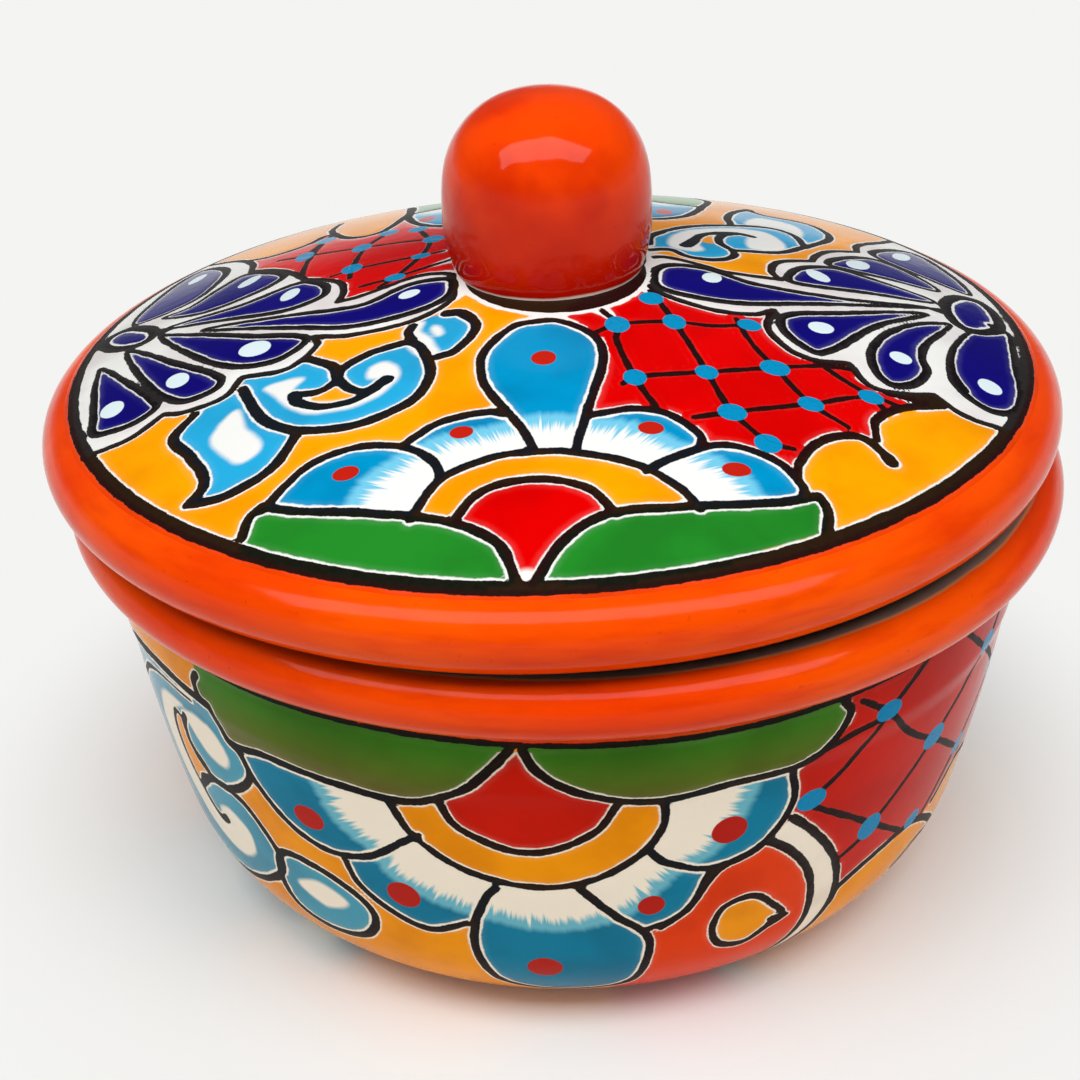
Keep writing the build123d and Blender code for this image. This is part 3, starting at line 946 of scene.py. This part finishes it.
lid.cell("light", 2.2, [(49.5, 37), (49.5, 46.2), (51.8, 56.9), (58, 71.5)],
         [(58, 71.5), (58.8, 66.2), (61.8, 61.9), (72.6, 60), (76.8, 48.5), (75.3, 38.5), (67.2, 24.6)],
         close=[(64.2, 39.2), (56, 39)])
lid.patch([(54, 41), (57, 51.5), (60, 54.6), (67, 52.6), (69, 45.5), (67.6, 36), (65.5, 39.6), (61.4, 42)])
lid.cell("light", 2.2, [(26.1, 9), (27.2, 16.2), (37.2, 28.5), (50.3, 36.9), (61.1, 40.8), (66, 36),
                        (67.2, 25)],
         [(67.2, 25), (59.5, 15.4), (48, 11.2), (46.8, 11.4)],
         [(46.8, 11.4), (47.2, 7.7), (44.9, 3.8), (40.3, 1.5), (34.9, 2.3), (31.1, 6), (24.5, 3.8)])
lid.flood("yellow", smooth([(39.2, 15.6), (42.8, 14.6), (43.6, 20.6), (42.6, 22.8), (40, 19.6)], True))
lid.line(2.2, [(46.8, 11.4), (44.5, 15.4), (44.5, 20), (46.5, 24.6), (49.5, 26.9)])
lid.line((2.8, 2.2, 3.4), [(53.8, 26.7), (49.5, 27.7), (41.1, 22.3), (36.8, 13.1), (35.3, 10.4)])
lid.patch([(52, 15.4), (58, 16), (61.4, 20), (60.8, 28), (57.5, 34), (52, 33.8), (44, 29.6), (37, 24.4),
           (32.6, 17), (31.6, 9), (36, 6.4), (39.3, 8.4), (38.4, 13.4), (40.4, 20), (46, 26.2),
           (52.4, 26.4), (51.8, 21)])

# Cobalt fans at both sides, in white that is scalloped all round
left_scallops = [
    [(-22.1, -12), (-22.1, -21.1), (-30.7, -28.3), (-45, -29.7), (-54.4, -26.4)],
    [(-54.4, -26.4), (-53.2, -31.1), (-59.3, -38.3), (-70.2, -37)],
    [(-70.2, -37), (-73.6, -43.3), (-82.9, -44.9), (-88, -43)],
    [(-88, -43), (-95, -48.6), (-106, -50)],
    [(-106, -50), (-116, -20), (-117, 0), (-114, 30), (-100, 70)],
    [(-98, 71), (-90.5, 63.3), (-83, 54.2), (-78, 42.5), (-77.1, 33.8)],
    [(-77.1, 33.8), (-71.4, 28.9), (-65.7, 21.7), (-60.1, 10.8)],
    [(-60.1, 10.8), (-50.7, 2.4), (-48.8, -5), (-49.6, -10.6)],
    [(-49.6, -10.6), (-45, -10.4), (-39.3, -8.3), (-30, -4.7), (-22.6, -7), (-22.1, -12)],
]
right_scallops = [
    [(22.8, -4.4), (24.9, -1.7), (29.5, 0.2), (38.8, -3.2), (43.4, -5.5), (57, -5.4)],
    [(57, -5.4), (55.3, -0.9), (58, 7), (67.2, 13)],
    [(67.2, 13), (69.5, 19.1), (73.4, 25.2), (82, 32)],
    [(82, 32), (83.4, 39.8), (92.6, 54.5), (98, 65)],
    [(98, 65), (112, 30), (117, 0), (114, -30), (102, -57)],
    [(102, -57), (91.8, -55), (86, -49.4)],
    [(86, -49.4), (78, -51.7), (71.1, -50.9), (67.6, -43)],
    [(67.6, -43), (59.5, -44), (54.2, -40.9), (50.5, -33), (53, -23.6)],
    [(53, -23.6), (48, -27.1), (38, -27.1), (26.5, -20.9), (23.8, -14), (22.8, -4.4)],
]
for scallops in (left_scallops, right_scallops):
    lid.flood("white", np.concatenate([smooth(scallop) for scallop in scallops]))
    for scallop in scallops[:4] + scallops[5:]:
        lid.line(2.0, scallop)
for petal, dab in (
    ([(-110.4, -6), (-110.2, -11), (-109.6, -17.5), (-108, -26.5), (-106.6, -34.5), (-105.2, -41.2),
      (-98.8, -43), (-94, -42), (-90.5, -38.5), (-93.6, -32), (-102, -18.8)],
     (-102.3, -32.4, 2.9, 3.8, 0.35)),
    ([(-104.4, -1), (-93.6, -28.3), (-84.3, -39.7), (-76.4, -38.8), (-75.6, -34.4), (-88.6, -19.7)],
     (-86.8, -29, 2.7, 3.7, 0.5)),
    ([(-96.4, 1.7), (-85.7, -16.9), (-73.6, -30.4), (-62.5, -33.3), (-56, -26.4), (-70, -17.6),
      (-88.6, -4)],
     (-68.6, -24.7, 3.4, 4.3, 0.9)),
    ([(-84.3, -4.5), (-62.9, -11.1), (-43.9, -15.4), (-32.1, -9), (-22.6, -10), (-22.9, -19), (-31, -24.4),
      (-45, -25.6), (-59.3, -19.4)], (-32.3, -14.5, 2.7, 2.0, 0.5)),
    ([(-95, 5.6), (-75.7, 4.6), (-61, 8.9), (-54.3, 2.4), (-54, -4.5), (-62.9, -7.9), (-80, -1.9)],
     (-62.9, 2.1, 2.3, 3.6, -0.3)),
    ([(-98, 15.5), (-91, 16.7), (-84, 26), (-78.6, 31.7), (-69, 23.8), (-66.4, 17.6), (-72, 11.4),
      (-85.7, 8.1)],
     (-76.1, 23.1, 2.3, 4.2, -0.5)),
    ([(-107, 20), (-103, 42.5), (-98.6, 56), (-94.6, 60), (-88, 51.4), (-85.1, 40), (-89.7, 23.3),
      (-98.8, 18.6)],
     (-94.3, 47.5, 2.2, 4.5, -0.25)),
    ([(94, -3), (71.8, -10.2), (50.3, -10.5), (38.8, -4.8), (30, -4.8), (26, -10), (27.2, -18.6),
      (43.4, -22.5), (61.1, -17.5), (83.4, -8.6)], (39.9, -10, 2.3, 3.0, -0.4)),
    ([(96.5, 2.2), (79.5, 9.1), (72, 10.6), (62.6, 4.5), (59.5, -5.5), (79.5, -2.8)],
     (67.2, 2.2, 2.6, 3.9, 0.4)),
    ([(99.5, 12.2), (86, 11.6), (71.6, 12.6), (74.9, 19.8), (84.9, 27.5), (92.4, 24)],
     (79.9, 18.3, 2.8, 4.6, -0.5)),
    ([(109, 17), (99, 21), (86.4, 32.4), (91.6, 43), (99.5, 49.6), (104, 44)],
     (95.3, 39.5, 2.2, 5.5, -0.4)),
    ([(92.6, -7.8), (70, -18.8), (55.4, -25.6), (54.2, -33), (60.4, -40.6), (65.7, -37.1), (78, -21.7)],
     (63.4, -28.6, 3.2, 2.6, 0.5)),
    ([(97.5, -11.1), (88.3, -16), (79.4, -25.3), (74.2, -34.9), (73.4, -43.7), (76, -48.5), (81.2, -47),
      (86, -40.1), (86.2, -33.6), (88.2, -27)], (80.8, -35.8, 2.6, 2.6, 0)),
    ([(103.2, -11.4), (109.2, -7.1), (113.2, -6), (111.8, -17.8), (110, -28.8), (108.8, -38.3),
      (105.1, -47.8), (99.3, -50.4), (94.6, -47.1), (92, -40.8), (93.8, -29.5), (98.3, -18.8)],
     (100.9, -39.5, 2.8, 3.2, 0)),
):
    lid.ring("cobalt", (1.3, 2.2, 2.5, 2.2, 1.3), petal)
    lid.dot("white", *dab)
lid.line((1.4, 3.0), [(93.8, -29.5), (92.6, -37), (93.6, -44)])
eye_white = 0.7
for eye in (
    [(-98.3, 5.4), (-99.7, 1.5), (-103.8, 1.1), (-109.7, 5.2), (-113.3, 11.4), (-112, 16.1), (-108.1, 17.2),
     (-101.6, 11.6)],
    [(111.6, -3.9), (106.7, -9.7), (101.5, -11.1), (98.8, -6.2), (99.4, 3.7), (104.8, 11.7), (110.1, 12.6),
     (112.4, 6.1)],
):
    lid.line(3.2, eye, True)
    lid.numbers["halo"][lid.flood("cobalt", smooth(eye, True))] = eye_white
lid.line((1.5, 4.4), [(-93.5, 3.8), (-96.8, 4.6)])
lid.line((1.5, 4.0), [(93.5, -3.5), (97.2, -3.3)])
lid.line((3.0, 1.2), [(110, -4), (113.5, -5.5)])

# Half flower at the front
for petal, petal_foot in (
    ([(-31.3, -74.3), (-24.2, -68.9), (-13.3, -66.8), (-9.8, -68)], [(-4, -79), (-4, -84), (-24, -88)]),
    ([(7.3, -69.8), (18.3, -67.4), (25, -68.9), (31.3, -75.2), (30.8, -79)], [(20, -88), (2, -84)]),
    ([(-3.6, -80.2), (-6.3, -72.7), (-13.8, -58.5), (-15, -50.2), (-13.8, -44.3), (-7.5, -36),
      (-3.3, -34.8), (2.5, -34.8), (10.4, -41), (12.1, -50), (8.8, -64.3), (5.4, -77.7), (5, -80.4)], []),
    ([(-60.8, -86.6), (-52, -76), (-41.7, -72.7), (-30.8, -75.2), (-24.6, -81), (-23.3, -86)],
     [(-28, -98), (-50, -93)]),
    ([(19.2, -86.4), (24.2, -82.7), (35.8, -77.7), (46.7, -81.4), (51.3, -88.5), (50.8, -91)],
     [(40, -98), (24, -98)]),
):
    lid.cell("teal", 2.1, petal, close=petal_foot)
lid.cell("yellow", 2.1, [(-29.4, -96), (-23.3, -86), (-12.5, -81), (-5, -80.2), (3.3, -80.6), (16.7, -84.3),
                         (25.8, -91), (29.2, -96.4)], close=[(-1, -116)])
lid.cell("red", 2.1, [(-20.8, -98), (-15, -90.6), (-4.2, -88), (6.7, -91), (12.3, -98)], close=[(-5, -116)])
lid.cell("green", 2.3, [(-64.3, -93), (-63.3, -87.7), (-60.8, -85.2)],
         [(-60.8, -85.2), (-53.3, -88.5), (-36.7, -93), (-21.7, -97.7), (-11.7, -104.3), (-7.9, -114.5)],
         close=[(-20, -116), (-50, -106), (-64, -97)])
lid.cell("green", 2.3, [(-4.6, -114.5), (1.7, -104.3), (10.8, -98), (25.8, -96), (44.2, -93.5),
                        (54.2, -90.3)],
         [(54.2, -90.3), (55.4, -94), (54.6, -100)], close=[(30, -112), (10, -116)])
lid.patch([(-8.6, -112.4), (-6.2, -111.4), (-4, -112.4), (-5, -116), (-7, -116)])
lid.feathered("teal", [(-44, -99), (-39.8, -90.2), (-37.5, -85.2), (-30.8, -80), (-24, -76.4),
                       (-11.7, -74.5), (-2, -72), (8.8, -73.6), (18.3, -75.4), (25.6, -80.4), (36.8, -87.2),
                       (40, -94.3), (42, -99)], (-2, -100))
for dab in ((-1, -49.3, 2.8, 2.6), (-19, -72.5, 2.6, 1.9), (21, -73.5, 2.8, 2), (-43.3, -80.2, 2.9, 2.1),
            (37.8, -84.8, 3.1, 2)):
    lid.dot("red", *dab)

# Half flower at the back, mostly behind the knob
lid.cell("teal", 2.1, [(12, 66), (14.4, 52), (10, 37), (0, 31.4), (-10, 37), (-14.4, 52), (-12, 66)],
         close=[(0, 84)])
lid.cell("teal", 2.2, [(13.5, 68), (17.5, 58), (18.4, 48), (22, 38), (28.8, 34.6), (37, 41), (42, 53),
                       (44, 62)],
         close=[(30, 70), (24.6, 75.8)])
lid.cell("teal", 2.2, [(-13.5, 68), (-17, 58), (-18.4, 48), (-20.6, 39), (-27.2, 36.6), (-33.4, 45),
                       (-36.3, 57), (-36.6, 66)],
         close=[(-28, 70), (-23.9, 75)])
lid.cell("yellow", 2.1, [(24.6, 75.8), (13, 68), (0, 66), (-13, 68), (-23.9, 75)],
         close=[(-18, 86), (0, 116), (20, 86)])
lid.cell("red", 2.1, [(18.3, 88.2), (13, 79.5), (0, 75), (-12.5, 79.5), (-17, 87.5)],
         close=[(-8, 101), (0, 118), (8, 101)])
lid.cell("green", 2.2, [(2, 116), (8, 101), (20, 86), (32, 66), (44, 62)],
         [(44, 62), (46.5, 73), (47.6, 84.6), (43.5, 107)],
         close=[(40, 114), (26, 119), (12, 120)])
lid.cell("green", 2.2, [(-2, 116), (-8, 101), (-18, 86), (-28, 70), (-36.6, 66)],
         [(-36.6, 66), (-37, 84), (-40, 108)],
         close=[(-38, 114), (-26, 119), (-12, 120)])
lid.line(1.8, [(-28, 36.8), (-20, 30), (-12, 21)])
lid.feathered("teal", [(46, 80), (40, 62), (27, 58), (12, 56), (-12, 56), (-26, 58), (-38, 66), (-44, 80)],
              (0, 100))
for dab in ((32.6, 46.2, 2.2, 4.4), (-31, 50, 2.2, 4.4), (0, 45, 2.8, 3)):
    lid.dot("red", *dab)

# The broad ring just inside the rolled edge, narrower at the back than in front
ring_start = 115.0
ring_end = dome_edge.real
ring_lean = 0.9
out = np.hypot(*lid.at.T)
ring_inside = ring_start + ring_lean * lid.at[:, 1] / ring_end
off_ring = np.abs(out - (ring_inside + ring_end) / 2) - (ring_end - ring_inside) / 2
outermost = out > (ring_start + ring_end) / 2
ink = lid.numbers["ink"]
ink = np.where(out > ring_end, off_ring, np.minimum(ink, off_ring))
lid.colours["glaze"][outermost] = glazes["orange"][0]
lid.numbers["halo"][outermost] = no_white

# The ring round the foot of the knob, from two circles, with a white band that other ink keeps off
knob_circles = ((2.5 - 9.4j, 21.8), (2.0 - 0.8j, 22.8))
white_band = 1.2
widest_by_ring = 1.7
lid_spots = lid.at[:, 0] + 1j * lid.at[:, 1]
off_knob_ring = np.min([np.abs(lid_spots - middle) - radius for middle, radius in knob_circles], 0)
ink = np.where(off_knob_ring < white_band, np.maximum(ink, white_band - off_knob_ring), ink)
lid.numbers["ink"] = np.minimum(ink, off_knob_ring)
lid.numbers["halo"] = np.maximum(lid.numbers["halo"], widest_by_ring - np.abs(off_knob_ring) * 0.25)
lid.lay_on(lid_dome)
dome_glaze = painted_glaze("lid_dome_glaze", glazes["white"][0], (1, 1, 1, 1), 0.05)
lid_dome.data.materials.append(dome_glaze)
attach(lid_dome, "lid")
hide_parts("lid")


# Lid rim
# The lid's edge, rolled thicker than the bowl's and glazed orange right round. Underneath, where it
# touches the bowl, it is bare grey-brown slip, painted paler than it is as painted light in the
# shaded gap.
def lid_own(places):
    """The opposite of seat_lid: from where the lid lies on the bowl to its own frame."""
    x, y, z = places.T
    x = x + lid_shift
    z = z - lid_height
    aside = x * cos(lid_lean) + z * sin(lid_lean)
    upward = z * cos(lid_lean) - x * sin(lid_lean)
    return np.stack([aside, y, upward], 1)


lid_roll = (17.9, 17.0)
lid_ring = 116.05
lid_rim_middle = lid_ring + lid_height * 1j
lid_rim_glaze = orange_glaze("lid_rim_glaze")
lid_rim = rolled_edge("lid_rim", lid_rim_middle, lid_roll, lid_rim_glaze, lean=-lid_lean,
                      shift=-lid_shift, wobble=0.2, seed=8)
lid_rim_places = lid_own(mesh_places(lid_rim))
lid_rim_out = np.hypot(lid_rim_places[:, 0], lid_rim_places[:, 1])
lid_rim_angle = np.arctan2(lid_rim_places[:, 2], lid_rim_out - lid_ring)
seat_angle = radians(-113)
seat_half = radians(62)
off_seat = np.abs((lid_rim_angle - seat_angle + pi) % (2 * pi) - pi)
mark(lid_rim, "bare", (off_seat - seat_half) * lid_roll[1] / 2)
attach(lid_rim, "lid")
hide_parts("lid")


# Lid underside
# The hollow of the lid, in dark slip without glaze, with the pin hole under the knob. Its edge runs
# on into the rolled edge.
def dark_slip(name):
    """Matt brown slip with a few pale grains and the marks of the wheel."""
    recipe = finish(name)
    slip = recipe.mix(recipe.noise(26, 4), tint(66, 45, 36), tint(92, 66, 54))
    slip = recipe.mix(recipe.noise(800, 2).past(0.68, 0.06) * 0.5, slip, tint(124, 92, 74))
    rings = wheel_marks(recipe, 80.0, 1.5)
    slip = recipe.mix(rings * 0.1, slip, tint(112, 84, 70))
    roughness = 0.46 + recipe.noise(80) * 0.14
    return recipe.fire(slip, roughness, rings * 0.4 + recipe.noise(600, 3) * 0.5, 0.00025)


plate_thickness = 8.9
pin_hole = 1.0
ring_outer = 104.8
underside_end = 108.2 + 0j
under_rows = 60
under_out = np.linspace(pin_hole, ring_outer, under_rows)
under_line = under_out + 1j * (dome_height(under_out) - plate_thickness)
hole_top = pin_hole + 1j * dome_height(pin_hole)
under_line = np.concatenate([[hole_top], under_line, [ring_outer + 0j, underside_end]])
lid_underside = turned("lid_underside", under_line, inner_spokes, seat=seat_lid)[0]
lid_underside.data.materials.append(dark_slip("lid_underside_slip"))
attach(lid_underside, "lid")
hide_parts("lid")


# Locating ring
# A flange luted on under the lid, which stands inside the bowl's mouth and keeps the lid in place.
# It is the same bare slip.
ring_inner = 98.8
ring_low = -19.4
ring_round = 1.8
lower_out = ring_outer - ring_round + 1j * (ring_low + ring_round)
lower_in = ring_inner + ring_round + 1j * (ring_low + ring_round)
quarter = np.linspace(0, pi / 2, 9)
ring_line = np.concatenate([
    [ring_inner + 1j * (dome_height(ring_inner) - plate_thickness)],
    even(np.array([ring_inner - 4j, ring_inner + 1j * (ring_low + ring_round)]), inner_step),
    lower_in - ring_round * np.exp(1j * quarter[1:]),
    lower_out - 1j * ring_round * np.exp(1j * quarter),
    even(np.array([ring_outer + 1j * (ring_low + ring_round), ring_outer - 1j]), inner_step)[1:],
    [ring_outer + 1j * (dome_height(ring_outer) - plate_thickness)],
])
locating_ring = turned("locating_ring_clay", ring_line, inner_spokes, closed=True, seat=seat_lid)[0]
locating_ring.data.materials.append(dark_slip("locating_ring_slip"))
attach(locating_ring, "lid")
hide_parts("locating_ring")


# Knob
# A hollow ball, open below, luted on over the pin hole and glazed a redder orange than the rims,
# with a pale line where the glaze stops at its foot.
knob_seat = 32.3
knob_widest = 25.1 + 1j * (knob_seat + 12)
knob_foot = 22.3 + 1j * knob_seat
knob_shoulder = 19.3 + 1j * (knob_seat + 34.6)
knob_top = 1j * (knob_seat + 42.1)
knob_slope = radians(41)
knob_wall = 5.5
knob_lean = 0.012
foot_reach = 13
foot_push = 2.7
knob_spokes = 192


def knob_side(inset):
    """The outline from the foot to the top, drawn in by inset."""
    widest = knob_widest - inset
    shoulder_place = knob_shoulder - inset * (cos(knob_slope) + 1j * sin(knob_slope))
    top = knob_top - 1j * inset
    share = np.linspace(0, 1, 40)
    rows = [bend(widest, knob_foot - inset, -1j, 16)[0][::-1]]
    for start, end, lean_in, lean_out in (
        (widest, shoulder_place, 1j, -sin(knob_slope) + 1j * cos(knob_slope)),
        (shoulder_place, top, -sin(knob_slope) + 1j * cos(knob_slope), -1),
    ):
        run = abs(end - start) * 1.12
        rows.append(curve(start, end, lean_in * run, lean_out * run, share))
    line = np.concatenate([rows[0], rows[1][1:], rows[2][1:]])
    line[-1] = top
    return line


knob_outside = knob_side(0)
knob_inside = knob_side(knob_wall)[::-1]
knob_sunk = 0.8  # how deep its foot sits in the dome
foot_out = np.array([knob_foot.real, knob_foot.real - knob_wall])
sunk_foot = foot_out + 1j * (dome_height(foot_out) - knob_sunk)
knob_line = np.concatenate([sunk_foot[:1], knob_outside, knob_inside, sunk_foot[1:]])


def seat_knob(places):
    """The ball was pressed on by hand: it leans a little to the right, its sides are uneven, and its
    foot is pushed forward."""
    x, y, z = places.T
    turn = np.arctan2(y, x)
    uneven = 1 + 0.005 * np.cos(2 * turn + 0.9) + 0.004 * np.cos(3 * turn - 0.5)
    lean = 0.9 + knob_lean * (z - knob_seat)
    low = np.clip(1 - (z - knob_seat) / foot_reach, 0, 1) ** 2
    aside = x * uneven + lean + 0.3 * low
    return seat_lid(np.stack([aside, y * uneven - 0.8 - foot_push * low, z], 1))


knob, knob_places = turned("knob_ball", knob_line, knob_spokes, closed=True, seat=seat_knob)


def knob_glaze(name):
    """Glossy red-orange glaze with soft dents, painted darker and redder towards the foot as painted shade.
    """
    recipe = finish(name)
    low = recipe.painted("low")
    patches = recipe.noise(38, 3)
    # Painted shade: the ball goes from bright orange at its top to a darker red at its foot, as light from
    # above falls
    body = recipe.mix(low.past(14, 18), tint(190, 10, 0), tint(246, 68, 0))
    body = recipe.mix(patches.past(0.55, 0.16) * 0.6, body, tint(190, 14, 2))
    body = recipe.mix(recipe.noise(600, 2).past(0.73, 0.05) * 0.2, body, tint(120, 20, 8))
    body = recipe.mix(low.past(0.1 + recipe.noise(90), 0.3), tint(240, 214, 200), body)
    relief = recipe.noise(75, 2)
    return recipe.fire(body, 0.06 + recipe.noise(60) * 0.04, relief, 0.0006, 0.15)


mark(knob, "low", knob_places[:, 2] - knob_seat)
knob.data.materials.append(knob_glaze("knob_orange_glaze"))
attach(knob, "lid")
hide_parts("knob")
